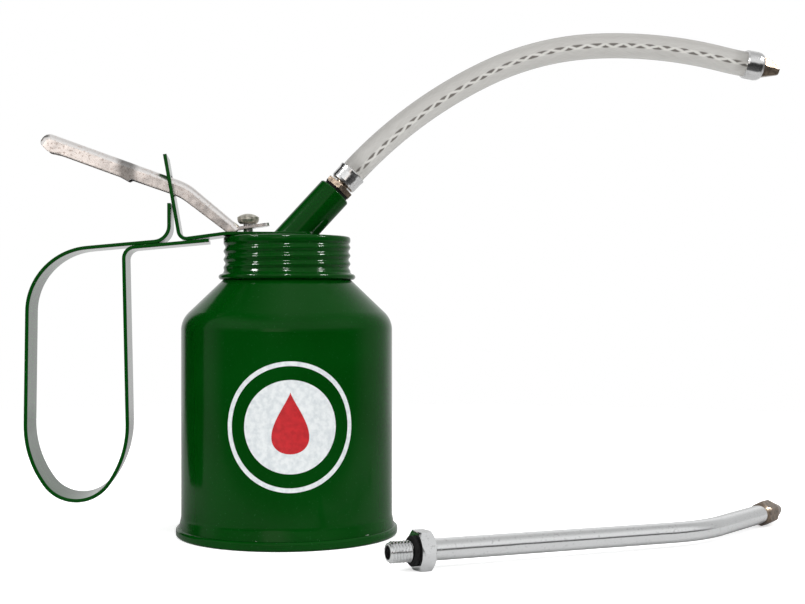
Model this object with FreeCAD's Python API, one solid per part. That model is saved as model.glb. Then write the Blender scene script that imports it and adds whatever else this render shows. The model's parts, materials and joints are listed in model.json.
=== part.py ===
import FreeCAD, Part

# Handy oiler can: a sheet-metal can with a screw-on lever pump head, a braided flexible spout and a
# spare rigid spout lying beside it.
# Frame: origin at the centre of the can's base on the ground, +Z up, spout towards +X, handle
# towards -X, badge towards -Y. Millimetres throughout.

import math
import os

Vector = FreeCAD.Vector
UP = Vector(0, 0, 1)
DEPTH_AXIS = Vector(0, 1, 0)

# ---- driving dimensions ----------------------------------------------------------------------
SHEET = 0.6                   # can sheet
RUNNING = 0.05                # radial running clearance
TOUCH = 0.02                  # gap between pieces that are soldered or pressed together

BODY_RADIUS = 43.7
RIM_RADIUS = 45.9             # rolled rim at the foot
RIM_HEIGHT = 3.8
FLARE_TOP = 8.2               # where the foot flare meets the straight wall
SHOULDER_RADIUS = 10.0
CONE_ANGLE = 43.8             # degrees below horizontal
CONE_LIP_RADIUS = 24.95       # hole in the top of the cone
CONE_LIP_Z = 107.0

THREAD_PITCH = 3.4            # big rolled thread of neck and cap
THREAD_WAVE = 0.36            # half the thread's depth
CAP_MEAN_RADIUS = 25.98       # outer skin of the cap, between crest and root
CAP_SHEET = 0.5
NECK_GAP = 0.28               # radial gap between neck thread and cap thread
CAP_TOP_Z = 123.5
CAP_TOP_SHEET = 0.8
CAP_THREAD_LOW = 108.6
CAP_THREAD_HIGH = 121.4
BEAD_RADIUS = 1.15            # rolled edge of the cap
BEAD_CENTRE_RADIUS = 27.2
BEAD_Z = 106.7
GASKET_THICK = 1.0

STRIP_WIDTH = 25.0            # steel strip of the handle and lever guide
STRIP_THICK = 1.45
STRIP_EDGE = 0.35             # rounding along the strip's edges
UPRIGHT_LEAN = 9.2            # degrees from vertical, towards the handle
SEAT_SLOPE = 5.5              # slope of the handle's top strip
SLOT_LOW_Z = 140.3
SLOT_HIGH_Z = 148.3
UPRIGHT_TOP_Z = 156.1

LEVER_WIDTH = 11.0
LEVER_SHEET = 1.2
LEVER_SHOULDER = 2.4          # rounding along the lever's upper edges
LEVER_SLOPE = 19.6            # thumb run, degrees
HEEL_SLOPE = 40.0             # drop towards the rod
TONGUE_SLOPE = 8.2
PIVOT_X = -46.4

ROD_X = -16.15
ROD_RADIUS = 2.0
HEAD_RADIUS = 4.5             # rod screw
HEAD_LOW_Z = 128.7
HEAD_HIGH_Z = 132.95

BARREL_OUTER = 7.0
BARREL_INNER = 6.2
BARREL_LOW_Z = 62.0
PUMP_HEAD_LOW_Z = 104.0
PUMP_HEAD_RADIUS = 7.4
PISTON_Z = 70.0               # underside of the piston at rest
FOOT_BALL_RADIUS = 1.9
FOOT_HOLE = 1.2
CHECK_BALL_RADIUS = 2.2
CHECK_HOLE = 1.6
CHECK_SEAT = 18.0             # distance of the check valve's seat below the socket's mouth

SPOUT_ANGLE = 47.5            # socket axis above horizontal
SOCKET_MOUTH = Vector(20.0, 0, 142.5)
SOCKET_RADIUS = 7.25
M8_RADIUS = 4.0
M8_PITCH = 1.25
M8_WAVE = 0.34
SOCKET_BORE = 4.1

HOSE_RADIUS = 5.3
HOSE_BORE = 3.05
HOSE_BALL_RADIUS = 5.2        # ball of the bending joint
FERRULE_START = 4.2           # distances along the spout axis from the socket's mouth
FERRULE_END = 11.0
HOSE_START = 5.2
# length and end heading of each bend, in degrees
HOSE_ARCS = ((71.2, 26.1), (49.1, 3.65), (56.0, -12.8), (10.0, -9.5))
BEND_LENGTH = 95.0            # where along the hose its bending joint lies
UPPER_FERRULE_START = -3.6    # distances along the hose from its upper end
UPPER_FERRULE_END = 4.5
FLEXIBLE_TIP = 11.9

TUBE_RADIUS = 4.0             # rigid spout
TUBE_WALL = 0.8
NUT_FLATS = 14.0
NUT_LENGTH = 5.6
NIPPLE_REACH = 10.6           # thread beyond the nut
RIGID_SEAL_THICK = 1.9
RIGID_NUT = Vector(45.9, -85.5, NUT_FLATS / 2)
RIGID_BEND = Vector(162.9, -48.1, 0)
RIGID_TIP = Vector(214.4, 7.0, 0)
RIGID_BEND_RADIUS = 55.0
NOZZLE_LENGTH = 20.0
NOZZLE_COLLAR = 10.4          # length of the nozzle's hexagon
NOZZLE_DEPTH = 6.0            # how far the tube reaches into it
TIP_COLLAR_RADIUS = 5.35      # over the hexagon's corners


# ---- general helpers ---------------------------------------------------------------------------
def direction(angle):
    """Unit vector in the XZ plane, angle in degrees above +X."""
    turn = math.radians(angle)
    return Vector(math.cos(turn), 0, math.sin(turn))


SPOUT_DIRECTION = direction(SPOUT_ANGLE)


def cylinder(radius, low, high, x=0.0, y=0.0):
    return Part.makeCylinder(radius, high - low, Vector(x, y, low))


def tube(outer, inner, low, high, x=0.0, y=0.0):
    return cylinder(outer, low, high, x, y).cut(cylinder(inner, low - 1, high + 1, x, y))


def turned(points, x=0.0):
    """Solid of revolution about a vertical axis; points are (radius, height)."""
    corners = [Vector(radius, 0, height) for radius, height in points]
    face = Part.Face(Part.makePolygon(corners + corners[:1]))
    solid = face.revolve(Vector(0, 0, 0), UP, 360)
    solid.translate(Vector(x, 0, 0))
    return solid


def arc_points(centre, radius, start, end, steps):
    """Points of a circular arc in the (radius, height) plane, angles in degrees."""
    points = []
    for step in range(steps + 1):
        angle = math.radians(start + (end - start) * step / steps)
        points.append((centre[0] + radius * math.cos(angle), centre[1] + radius * math.sin(angle)))
    return points


def rounded_wire(corners, radii, close=False):
    """Wire through the corners, each inner corner rounded by its radius (0 keeps it sharp)."""
    count = len(corners)
    edges = []
    last = None
    first = None
    for index, corner in enumerate(corners):
        radius = radii[index]
        if radius > 0:
            back = (corners[index - 1] - corner).normalize()
            ahead = (corners[(index + 1) % count] - corner).normalize()
            half = back.getAngle(ahead) / 2
            reach = radius / math.tan(half)
            start = corner + back * reach
            end = corner + ahead * reach
            centre = corner + (back + ahead).normalize() * (radius / math.sin(half))
            middle = centre + (corner - centre).normalize() * radius
        else:
            start = corner
            end = corner
        if last is not None and (start - last).Length > 1e-6:
            edges.append(Part.makeLine(last, start))
        if radius > 0:
            edges.append(Part.Arc(start, middle, end).toShape())
        if first is None:
            first = start
        last = end
    if close:
        edges.append(Part.makeLine(last, first))
    return Part.Wire(edges)


def turned_profile(corners, radii):
    """Solid of revolution about +Z of a closed rounded outline of (radius, height) corners."""
    wire = rounded_wire([Vector(radius, 0, height) for radius, height in corners], radii, close=True)
    return Part.Face(wire).revolve(Vector(0, 0, 0), UP, 360)


def along(shape, origin, heading):
    """Move a shape built up +Z from the origin so that it points along a heading."""
    moved = shape.copy()
    moved.Placement = FreeCAD.Placement(origin, FreeCAD.Rotation(UP, heading))
    return moved


def hexagon_outline(corner, height):
    """Hexagon of a given corner radius about +Z, two of its corners on the Y axis."""
    points = []
    for index in range(6):
        angle = math.radians(60 * index + 30)
        points.append(Vector(corner * math.cos(angle), corner * math.sin(angle), height))
    return Part.makePolygon(points + points[:1])


def hexagon(flats, low, high):
    """Hexagonal prism about +Z, standing on one of its flats towards -X."""
    face = Part.Face(hexagon_outline(flats / math.sqrt(3), low))
    return face.extrude(Vector(0, 0, high - low))


def smooth_step(value):
    value = min(max(value, 0.0), 1.0)
    return value * value * (3 - 2 * value)


# ---- screw-shaped skins ------------------------------------------------------------------------
COLUMNS = 36                  # control points round the skin


def smoothing(angle):
    """How much a uniform cubic spline shrinks a wave whose points are this angle apart."""
    return (2 + math.cos(angle)) / 3


def screw_skin(rows, pitch, spacing):
    """Closed skin round +Z through rows of (radius, height, wave), as one periodic spline face.

    The wave follows a right-hand helix of the given pitch, so turning the skin and lifting it by
    the pitch per turn leaves it in place.
    """
    spread = smoothing(2 * math.pi / COLUMNS)
    lift = smoothing(2 * math.pi * spacing / pitch)
    poles = []
    for column in range(COLUMNS):
        angle = 2 * math.pi * column / COLUMNS
        line = []
        for radius, height, wave in rows:
            swing = wave / lift * math.cos(angle - 2 * math.pi * height / pitch)
            reach = (radius + swing) / spread
            line.append(Vector(reach * math.cos(angle), reach * math.sin(angle), height))
        poles.append(line)
    return tube_skin(poles)


def tube_skin(poles):
    """Smooth skin closed round its columns: poles holds one list of control points per column."""
    count = len(poles[0])
    row_knots = [float(index) for index in range(count - 2)]
    row_mults = [4] + [1] * (count - 4) + [4]
    turn_knots = [float(index) for index in range(len(poles) + 1)]
    turn_mults = [1] * (len(poles) + 1)
    surface = Part.BSplineSurface()
    surface.buildFromPolesMultsKnots(poles, turn_mults, row_mults, turn_knots, row_knots,
                                     True, False, 3, 3)
    return surface.toShape()


def end_loops(face):
    """The two closed end edges of a skin."""
    return [edge for edge in face.Edges if edge.isClosed()]


def close_skins(faces):
    """Sew faces into one solid with outward faces."""
    shell = Part.makeShell(faces)
    sewn = Part.makeCompound(faces)
    sewn.sewShape()
    shell = sewn.Shells[0] if sewn.Shells else shell
    solid = Part.makeSolid(shell)
    if solid.Volume < 0:
        solid.reverse()
    return solid


def capped(skin):
    """Solid inside one skin, with flat ends."""
    ends = [Part.Face(Part.Wire([loop])) for loop in end_loops(skin)]
    return close_skins([skin] + ends)


def thread_rows(mean, wave, low, high, fade_low, fade_high, spacing, toward_root):
    """Rows of a thread from low to high; at each end the wave fades into the root or crest."""
    rows = []
    steps = max(4, round((high - low) / spacing))
    for step in range(steps + 1):
        height = low + (high - low) * step / steps
        strength = 1.0
        if fade_low:
            strength *= smooth_step((height - low) / fade_low)
        if fade_high:
            strength *= smooth_step((high - height) / fade_high)
        settle = -1 if toward_root else 1
        rows.append((mean + settle * wave * (1 - strength), height, wave * strength))
    return rows


# ---- can ---------------------------------------------------------------------------------------
def can_body():
    """Drawn shell: flared foot, straight wall, rounded shoulder and cone, open at both ends."""
    slope = math.tan(math.radians(CONE_ANGLE))
    corner_z = CONE_LIP_Z - (BODY_RADIUS - CONE_LIP_RADIUS) * slope
    foot_radius = BODY_RADIUS + 0.8
    outer = [(foot_radius, RIM_HEIGHT), (BODY_RADIUS, FLARE_TOP),
             (BODY_RADIUS, corner_z), (CONE_LIP_RADIUS, CONE_LIP_Z)]
    drop = SHEET / math.cos(math.radians(CONE_ANGLE))
    inner_corner = corner_z - drop + SHEET * slope
    inner = [(CONE_LIP_RADIUS, CONE_LIP_Z - drop), (BODY_RADIUS - SHEET, inner_corner),
             (BODY_RADIUS - SHEET, FLARE_TOP), (foot_radius - SHEET, RIM_HEIGHT)]
    radii = [0, 8, SHOULDER_RADIUS, 0, 0, SHOULDER_RADIUS - SHEET, 8, 0]
    return turned_profile(outer + inner, radii)


def base_plate():
    """Dished base with the solid rolled rim that the can stands on."""
    dish_z = 4.6
    web_radius = RIM_RADIUS - 3.3
    corners = [(0, dish_z), (web_radius, dish_z), (web_radius, 0), (RIM_RADIUS, 0),
               (RIM_RADIUS, RIM_HEIGHT), (BODY_RADIUS - 1.0, RIM_HEIGHT),
               (BODY_RADIUS - 1.0, dish_z + SHEET), (0, dish_z + SHEET)]
    radii = [0, 0, 1.2, 1.3, 1.3, 0, 0, 0]
    return turned_profile(corners, radii)


def neck_rows(radius, foot, rim, spacing):
    """Rows of a neck skin: flange under the cone, plain root, thread and plain rim."""
    flange = [(foot[0], foot[1], 0), (radius + 3.2, 102.3, 0), (radius + 1.2, 104.2, 0),
              (radius, 105.0, 0)]
    threads = thread_rows(radius + THREAD_WAVE, THREAD_WAVE, 108.2, 121.0, 1.6, 1.6, spacing, True)
    return flange + threads + [(radius, rim, 0)]


def neck_ring():
    """Rolled neck with the male thread, its flange soldered under the top of the cone."""
    root = CAP_MEAN_RADIUS - THREAD_WAVE - CAP_SHEET - NECK_GAP
    spacing = THREAD_PITCH / 10
    rim = CAP_TOP_Z - CAP_TOP_SHEET - GASKET_THICK - TOUCH
    outer_rows = neck_rows(root, (root + 4.2, 101.35), rim, spacing)
    inner_rows = neck_rows(root - SHEET, (root + 5.0, 100.0), rim + 2, spacing)
    outer = capped(screw_skin(outer_rows, THREAD_PITCH, spacing))
    return outer.cut(capped(screw_skin(inner_rows, THREAD_PITCH, spacing)))


def cap_shell():
    """Screw cap skin: flat top, rolled thread, plain band and the rolled bead."""
    spacing = THREAD_PITCH / 10
    crest = CAP_MEAN_RADIUS + THREAD_WAVE
    outer = [(crest - 1.9, CAP_TOP_Z, 0), (crest - 1.0, CAP_TOP_Z, 0),
             (crest - 0.1, CAP_TOP_Z - 0.3, 0), (crest, CAP_TOP_Z - 1.3, 0)]
    outer += thread_rows(CAP_MEAN_RADIUS, THREAD_WAVE, CAP_THREAD_LOW, CAP_THREAD_HIGH,
                         2.0, 1.2, spacing, False)[::-1]
    bead = arc_points((BEAD_CENTRE_RADIUS, BEAD_Z), BEAD_RADIUS / 0.95, 130, -190, 12)
    outer += [(radius, height, 0) for radius, height in bead[1:]]
    inner_crest = crest - CAP_SHEET
    inner = [(inner_crest, BEAD_Z + 0.4, 0), (inner_crest, BEAD_Z + 1.0, 0)]
    inner += thread_rows(CAP_MEAN_RADIUS - CAP_SHEET, THREAD_WAVE, CAP_THREAD_LOW,
                         CAP_THREAD_HIGH, 2.0, 1.2, spacing, False)
    ceiling = CAP_TOP_Z - CAP_TOP_SHEET
    inner += [(inner_crest, ceiling - 0.5, 0), (inner_crest - 0.4, ceiling, 0),
              (inner_crest - 1.0, ceiling, 0)]
    return capped(screw_skin(outer + inner, THREAD_PITCH, spacing))


def cap():
    shell = cap_shell()
    shell = shell.cut(cylinder(ROD_RADIUS + 0.5, 100, 130, ROD_X))
    return shell.cut(socket_outline())


def cap_gasket():
    high = CAP_TOP_Z - CAP_TOP_SHEET
    return tube(24.75, 23.85, high - GASKET_THICK, high - TOUCH)


def label():
    """Thin round badge wrapped on the front of the wall."""
    skin = tube(BODY_RADIUS + 0.14, BODY_RADIUS + TOUCH, 10, 84)
    disc = Part.makeCylinder(25.5, 60, Vector(0, 0, 48), Vector(0, -1, 0))
    return skin.common(disc)


# ---- strips ------------------------------------------------------------------------------------
def strip_along(path):
    """Steel strip whose middle follows a flat path in the XZ plane."""
    start = path.OrderedVertexes[0].Point
    first = path.OrderedEdges[0]
    heading = first.tangentAt(first.FirstParameter)
    if (first.valueAt(first.FirstParameter) - start).Length > 1e-6:
        heading = first.tangentAt(first.LastParameter) * -1
    across = DEPTH_AXIS.cross(heading).normalize()
    half_width = STRIP_WIDTH / 2
    half_thick = STRIP_THICK / 2
    corners = []
    for side_w, side_t in ((-1, -1), (1, -1), (1, 1), (-1, 1)):
        corners.append(start + DEPTH_AXIS * (side_w * half_width) + across * (side_t * half_thick))
    section = rounded_wire(corners, [STRIP_EDGE] * 4, close=True)
    return path.makePipeShell([section], True, False)


def seat_line(x, offset):
    """Height of a strip's middle that runs parallel to the seam between strap and handle."""
    return 121.35 + offset + math.tan(math.radians(SEAT_SLOPE)) * (x + 39.6)


def upright_x(z):
    """Middle of the upright's strip at a height."""
    return PIVOT_X - math.tan(math.radians(UPRIGHT_LEAN)) * (z - 135.5)


def plan_corner_cutter(end_x, inward, radius, low, high):
    """Removes the two square corners of a horizontal strip end that faces +X or -X."""
    half = STRIP_WIDTH / 2
    block = Part.makeBox(2 * radius, STRIP_WIDTH + 4, high - low,
                         Vector(min(end_x, end_x + inward * 2 * radius), -half - 2, low))
    keep = Part.makeBox(2 * radius, STRIP_WIDTH - 2 * radius, high - low,
                        Vector(min(end_x, end_x + inward * 2 * radius), radius - half, low))
    for side in (-1, 1):
        centre = Vector(end_x + inward * radius, side * (half - radius), low)
        keep = keep.fuse(Part.makeCylinder(radius, high - low, centre))
        inner = Part.makeBox(radius, radius + 1, high - low,
                             Vector(min(end_x + inward * radius, end_x + inward * 2 * radius),
                                    centre.y if side > 0 else centre.y - radius - 1, low))
        keep = keep.fuse(inner)
    return block.cut(keep)


def lever_guide():
    """Strap brazed on the cap, dipping behind it and bent up into the slotted upright."""
    flat_z = CAP_TOP_Z + STRIP_THICK / 2 + TOUCH
    end_x = 9.9
    dip = math.tan(math.radians(8.0))
    knee_x = -25.0
    heel_x = -43.7
    heel_z = flat_z - dip * (knee_x - heel_x)
    corners = [Vector(end_x, 0, flat_z), Vector(knee_x, 0, flat_z), Vector(heel_x, 0, heel_z),
               Vector(upright_x(UPRIGHT_TOP_Z), 0, UPRIGHT_TOP_Z)]
    path = rounded_wire(corners, [0, 12, 3.2, 0])
    strap = strip_along(path)
    slot_half = LEVER_WIDTH / 2 + 0.6
    slot = Part.makeBox(12, 2 * slot_half, SLOT_HIGH_Z - SLOT_LOW_Z,
                        Vector(PIVOT_X - 6, -slot_half, SLOT_LOW_Z))
    strap = strap.cut(slot)
    strap = strap.cut(cylinder(ROD_RADIUS + 0.5, 120, 130, ROD_X))
    strap = strap.cut(socket_outline())
    return strap.cut(plan_corner_cutter(end_x, -1, 3.0, flat_z - 3, flat_z + 3))


def handle_loop():
    """One strip: up behind the upright, round the grip and back under the strap."""
    gap = STRIP_THICK / 2 + TOUCH
    leg_top_z = 136.3
    lean = math.cos(math.radians(UPRIGHT_LEAN))
    leg_x = upright_x(leg_top_z) - STRIP_THICK / 2 / lean - gap
    left_x = -104.9
    right_x = -64.3
    turn_z = 46.8             # where the straight sides start to curve in
    bottom_radius = 15.2
    side_radius = 40.9
    bottom_half = 55.0        # degrees of the bottom arc each side of its lowest point
    ease = 90 - bottom_half
    side_reach = side_radius * math.tan(math.radians(ease / 2))
    bottom_reach = bottom_radius * math.tan(math.radians(bottom_half))
    low_z = turn_z - side_reach
    fall = (side_reach + bottom_reach) * math.sin(math.radians(bottom_half))
    shoulder_x = -103.8
    return_x = -66.1
    end_x = -32.0
    corners = [Vector(leg_x, 0, leg_top_z),
               Vector(leg_x, 0, seat_line(leg_x, gap)),
               Vector(shoulder_x, 0, seat_line(shoulder_x, gap)),
               Vector(left_x, 0, low_z),
               Vector((left_x + right_x) / 2, 0, low_z - fall),
               Vector(right_x, 0, low_z),
               Vector(return_x, 0, seat_line(return_x, -gap)),
               Vector(end_x, 0, seat_line(end_x, -gap))]
    radii = [0, 6.5, 26.0, side_radius, bottom_radius, side_radius, 4.6, 0]
    return strip_along(rounded_wire(corners, radii))


# ---- lever -------------------------------------------------------------------------------------
def lever_top(inset):
    """Nose, bend and toe of the lever's top line; inset moves them inwards."""
    thumb = direction(-LEVER_SLOPE)
    heel = direction(-HEEL_SLOPE)
    nose = Vector(-97.6, 0, 165.3)
    bend = nose + thumb * ((-40.5 - nose.x) / thumb.x)
    toe = bend + heel * ((-19.8 - bend.x) / heel.x)
    thumb_in = Vector(thumb.z, 0, -thumb.x) * inset
    heel_in = Vector(heel.z, 0, -heel.x) * inset
    return [nose + thumb_in + thumb * inset, bend + (thumb_in + heel_in) * 0.5, toe + heel_in]


def slab(points, radii, width):
    """Rounded outline in the XZ plane, extruded to a width centred on the middle plane."""
    face = Part.Face(rounded_wire(points, radii, close=True))
    solid = face.extrude(DEPTH_AXIS * width)
    solid.translate(DEPTH_AXIS * (-width / 2))
    return solid


def round_shoulders(solid, radius, low):
    """Round the two long rims of a slab where they lie above a height."""
    rims = [edge for edge in solid.Edges
            if edge.BoundBox.YLength < 0.001 and edge.BoundBox.ZMin > low]
    return solid.makeFillet(radius, rims)


def lever_cover():
    """Space under the lever's rounded top, reaching past its nose and toe."""
    nose, bend, toe = lever_top(0)
    toe = toe + direction(-HEEL_SLOPE) * 8
    brow = Vector(-104.7, 0, 155.6)
    points = [nose, bend, toe, Vector(toe.x + 2, 0, 100), Vector(brow.x - 1, 0, 100), brow]
    cover = slab(points, [3.5, 22.0, 0, 0, 0, 0], LEVER_WIDTH)
    return round_shoulders(cover, LEVER_SHOULDER, 115)


def lever():
    """Pressed channel: inverted U with a closed nose, ending in a flat slotted tongue."""
    lower_side = [Vector(-19.0, 0, 127.0), Vector(-21.6, 0, 125.25), Vector(-24.9, 0, 125.25),
                  Vector(-44.3, 0, 139.9), Vector(-63.6, 0, 146.5), Vector(-64.9, 0, 145.8),
                  Vector(-68.9, 0, 148.0), Vector(-92.3, 0, 156.4), Vector(-97.0, 0, 157.4),
                  Vector(-100.6, 0, 161.2)]
    radii = [3.5, 22.0, 0.8, 0, 1.0, 1.5, 20.0, 0.6, 0.6, 1.5, 4.0, 2.0, 2.5]
    outer = slab(lever_top(0) + lower_side, radii, LEVER_WIDTH).common(lever_cover())
    open_side = [Vector(-19.0, 0, 120.0), Vector(-60.0, 0, 120.0), Vector(-99.5, 0, 150.0)]
    radii = [2.3, 22.0 - LEVER_SHEET, 0, 0, 0, 0]
    inner = slab(lever_top(LEVER_SHEET) + open_side, radii, LEVER_WIDTH - 2 * LEVER_SHEET)
    inner = round_shoulders(inner, LEVER_SHOULDER - LEVER_SHEET, 124)
    return outer.cut(inner).fuse(tongue()).cut(rod_slot()).removeSplitter()


def tongue():
    """Flat end that lifts the rod's head."""
    length = 13.2
    width = LEVER_WIDTH - 0.6
    plate = Part.makeBox(length, width, LEVER_SHEET, Vector(0, -width / 2, -LEVER_SHEET))
    plate = plate.makeFillet(2.5, [edge for edge in plate.Edges
                                   if edge.BoundBox.ZLength > 1 and edge.BoundBox.XMin > 1])
    plate.rotate(Vector(0, 0, 0), DEPTH_AXIS, -TONGUE_SLOPE)
    plate.translate(Vector(-20.6, 0, 127.25))
    return plate


def rod_slot():
    """Slot for the rod, longer towards the heel because the lever swings as it lifts."""
    half = ROD_RADIUS + 0.45
    front = ROD_X + ROD_RADIUS + 0.7
    back = ROD_X - ROD_RADIUS - 4.3
    slot = Part.makeBox(front - back - half, 2 * half, 16, Vector(back, -half, 120))
    return slot.fuse(cylinder(half, 120, 136, front - half))


# ---- plunger and pump --------------------------------------------------------------------------
def rod_screw():
    """Slotted oval-head screw in the top of the rod."""
    shank_radius = 1.25
    dome = 1.5
    sphere_radius = (HEAD_RADIUS ** 2 + dome ** 2) / (2 * dome)
    head = turned([(0, HEAD_LOW_Z), (3.4, HEAD_LOW_Z), (4.2, HEAD_LOW_Z + 0.8),
                   (HEAD_RADIUS, HEAD_LOW_Z + 1.8), (HEAD_RADIUS, HEAD_HIGH_Z), (0, HEAD_HIGH_Z)], ROD_X)
    head = head.common(Part.makeSphere(sphere_radius, Vector(ROD_X, 0, HEAD_HIGH_Z - sphere_radius)))
    slot = Part.makeBox(10, 1.1, 2, Vector(ROD_X - 5, -0.55, HEAD_HIGH_Z - 1.2))
    return head.cut(slot).fuse(cylinder(shank_radius, HEAD_LOW_Z - 8, HEAD_LOW_Z + 0.5, ROD_X))


def pump_rod():
    """Piston rod: tapped at the top, with a collar above the piston and a thinner lower end."""
    low = PISTON_Z - 3.2
    collar_z = PISTON_Z + 5.0
    rod = cylinder(ROD_RADIUS, collar_z, HEAD_LOW_Z - TOUCH, ROD_X)
    rod = rod.fuse(cylinder(1.5, low, collar_z, ROD_X))
    rod = rod.fuse(cylinder(3.0, collar_z, collar_z + 1.5, ROD_X))
    return rod.cut(cylinder(1.25 + TOUCH, HEAD_LOW_Z - 9, HEAD_LOW_Z + 1, ROD_X))


def piston():
    """Piston disc with a ring of transfer holes."""
    disc = tube(BARREL_INNER - RUNNING, 1.5 + TOUCH, PISTON_Z, PISTON_Z + 3.0, ROD_X)
    for index in range(4):
        angle = math.radians(90 * index + 45)
        disc = disc.cut(cylinder(0.7, PISTON_Z - 1, PISTON_Z + 4,
                                 ROD_X + 3.6 * math.cos(angle), 3.6 * math.sin(angle)))
    return disc


def piston_cup():
    """Leather cup above the piston, its lip facing up."""
    low = PISTON_Z + 3.0 + TOUCH
    high = PISTON_Z + 5.0 - TOUCH
    lip = BARREL_INNER - RUNNING
    cup = turned([(1.5 + TOUCH, low), (lip, low), (lip, high), (lip - 0.9, high),
                  (lip - 1.2, low + 1.0), (1.5 + TOUCH, low + 1.0)], ROD_X)
    washer = tube(3.2, 1.5 + TOUCH, low + 1.0, high, ROD_X)
    return cup.fuse(washer)


def piston_nut():
    nut = hexagon(5.5, PISTON_Z - 2.5, PISTON_Z - TOUCH)
    nut = nut.cut(cylinder(1.5 + TOUCH, PISTON_Z - 4, PISTON_Z + 1))
    nut.translate(Vector(ROD_X, 0, 0))
    return nut


def pump_head():
    """Brass fitting under the cap: rod bore, spring stop, barrel seat and outlet port."""
    high = CAP_TOP_Z - CAP_TOP_SHEET - TOUCH
    body = cylinder(PUMP_HEAD_RADIUS, PUMP_HEAD_LOW_Z, high, ROD_X)
    body = body.cut(cylinder(BARREL_OUTER + TOUCH, 100, PUMP_HEAD_LOW_Z + 4, ROD_X))
    body = body.cut(cylinder(BARREL_INNER, 100, PUMP_HEAD_LOW_Z + 6, ROD_X))
    body = body.cut(cylinder(ROD_RADIUS + 0.4, 100, 130, ROD_X))
    body = body.cut(cylinder(3.5 + TOUCH, PUMP_HEAD_LOW_Z + 10, 130, ROD_X))
    port = delivery_channel(3.0 + TOUCH, 21.0, 41.5)
    return body.cut(port).cut(delivery_channel(2.0, 21.0, 47.0))


def rod_bush():
    high = CAP_TOP_Z - CAP_TOP_SHEET - TOUCH
    return tube(3.5, ROD_RADIUS + RUNNING, high - 4.5, high, ROD_X)


def rod_seal():
    """Packing ring between the bush and the bottom of its recess."""
    low = PUMP_HEAD_LOW_Z + 10 + TOUCH
    return tube(3.5, ROD_RADIUS + RUNNING, low, low + 2.2, ROD_X)


def pump_barrel():
    high = PUMP_HEAD_LOW_Z + 4 - TOUCH
    return tube(BARREL_OUTER, BARREL_INNER, BARREL_LOW_Z, high, ROD_X)


def return_spring():
    """Compression spring that pushes the piston back down."""
    low = PISTON_Z + 7.2
    high = PUMP_HEAD_LOW_Z + 5.4
    wire = 0.5
    coil = 4.0
    turns = 9
    steps = 18                # control points per turn
    sides = 12
    poles = [[] for _ in range(sides)]
    for step in range(turns * steps + 1):
        angle = 2 * math.pi * step / steps
        outward = Vector(math.cos(angle), math.sin(angle), 0)
        slope = (high - low) / (turns * 2 * math.pi * coil)
        upward = Vector(math.sin(angle) * slope, -math.cos(angle) * slope, 1).normalize()
        middle = Vector(ROD_X, 0, low + (high - low) * step / (turns * steps)) + outward * coil
        for side in range(sides):
            turn = 2 * math.pi * side / sides
            reach = wire / smoothing(2 * math.pi / sides)
            poles[side].append(middle + (outward * math.cos(turn) + upward * math.sin(turn)) * reach)
    return capped(tube_skin(poles))


def foot_valve_body():
    """Inlet valve in the foot of the barrel, with a spigot for the dip tube."""
    low = BARREL_LOW_Z
    core = turned([(0, low - 4), (BARREL_OUTER, low - 4), (BARREL_OUTER, low - TOUCH),
                   (BARREL_INNER - TOUCH, low - TOUCH), (BARREL_INNER - TOUCH, low + 4),
                   (0, low + 4)], ROD_X)
    spigot = cylinder(2.0, low - 10, low - 3, ROD_X)
    core = core.fuse(spigot)
    core = core.cut(cylinder(FOOT_HOLE, low - 12, low + 5, ROD_X))
    return core.cut(cylinder(2.6, low - 1.0, low + 5, ROD_X))


def foot_valve_ball():
    seat = BARREL_LOW_Z - 1.0
    rise = math.sqrt(FOOT_BALL_RADIUS ** 2 - FOOT_HOLE ** 2)
    return Part.makeSphere(FOOT_BALL_RADIUS, Vector(ROD_X, 0, seat + rise + TOUCH))


def ball_retainer():
    """Star washer that stops the foot ball from leaving its seat; it is pressed into the body."""
    low = BARREL_LOW_Z + 3.0
    ring = tube(2.6 - TOUCH, 2.0, low, low + 0.6, ROD_X)
    for angle in (0, 90):
        bar = Part.makeBox(4.4, 0.7, 0.6, Vector(-2.2, -0.35, low))
        bar.rotate(Vector(0, 0, 0), UP, angle)
        bar.translate(Vector(ROD_X, 0, 0))
        ring = ring.fuse(bar)
    return ring


def dip_tube():
    high = BARREL_LOW_Z - 4 - TOUCH
    return tube(2.6, 2.0 + TOUCH, 13.0, high, ROD_X)


def strainer():
    """Perforated cup over the foot of the dip tube."""
    cup = tube(3.3, 2.6 + TOUCH, 9.0, 20.0, ROD_X).fuse(cylinder(3.3, 9.0, 9.8, ROD_X))
    for index in range(6):
        hole = Part.makeCylinder(0.6, 6, Vector(0, 0, 11.4), Vector(1, 0, 0))
        hole.rotate(Vector(0, 0, 0), UP, 60 * index)
        hole.translate(Vector(ROD_X, 0, 0))
        cup = cup.cut(hole)
    return cup


# ---- spout socket ------------------------------------------------------------------------------
def from_mouth(shape):
    """Place a shape whose +Z runs outwards along the spout axis, 0 at the socket's mouth."""
    return along(shape, SOCKET_MOUTH, SPOUT_DIRECTION)


def delivery_channel(radius, start, end):
    """Round channel along the spout axis, between two depths below the mouth."""
    return from_mouth(cylinder(radius, -end, -start))


def socket_outline():
    """Space the socket takes where it passes the strap and the cap."""
    return from_mouth(cylinder(SOCKET_RADIUS + TOUCH, -45, 0))


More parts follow.
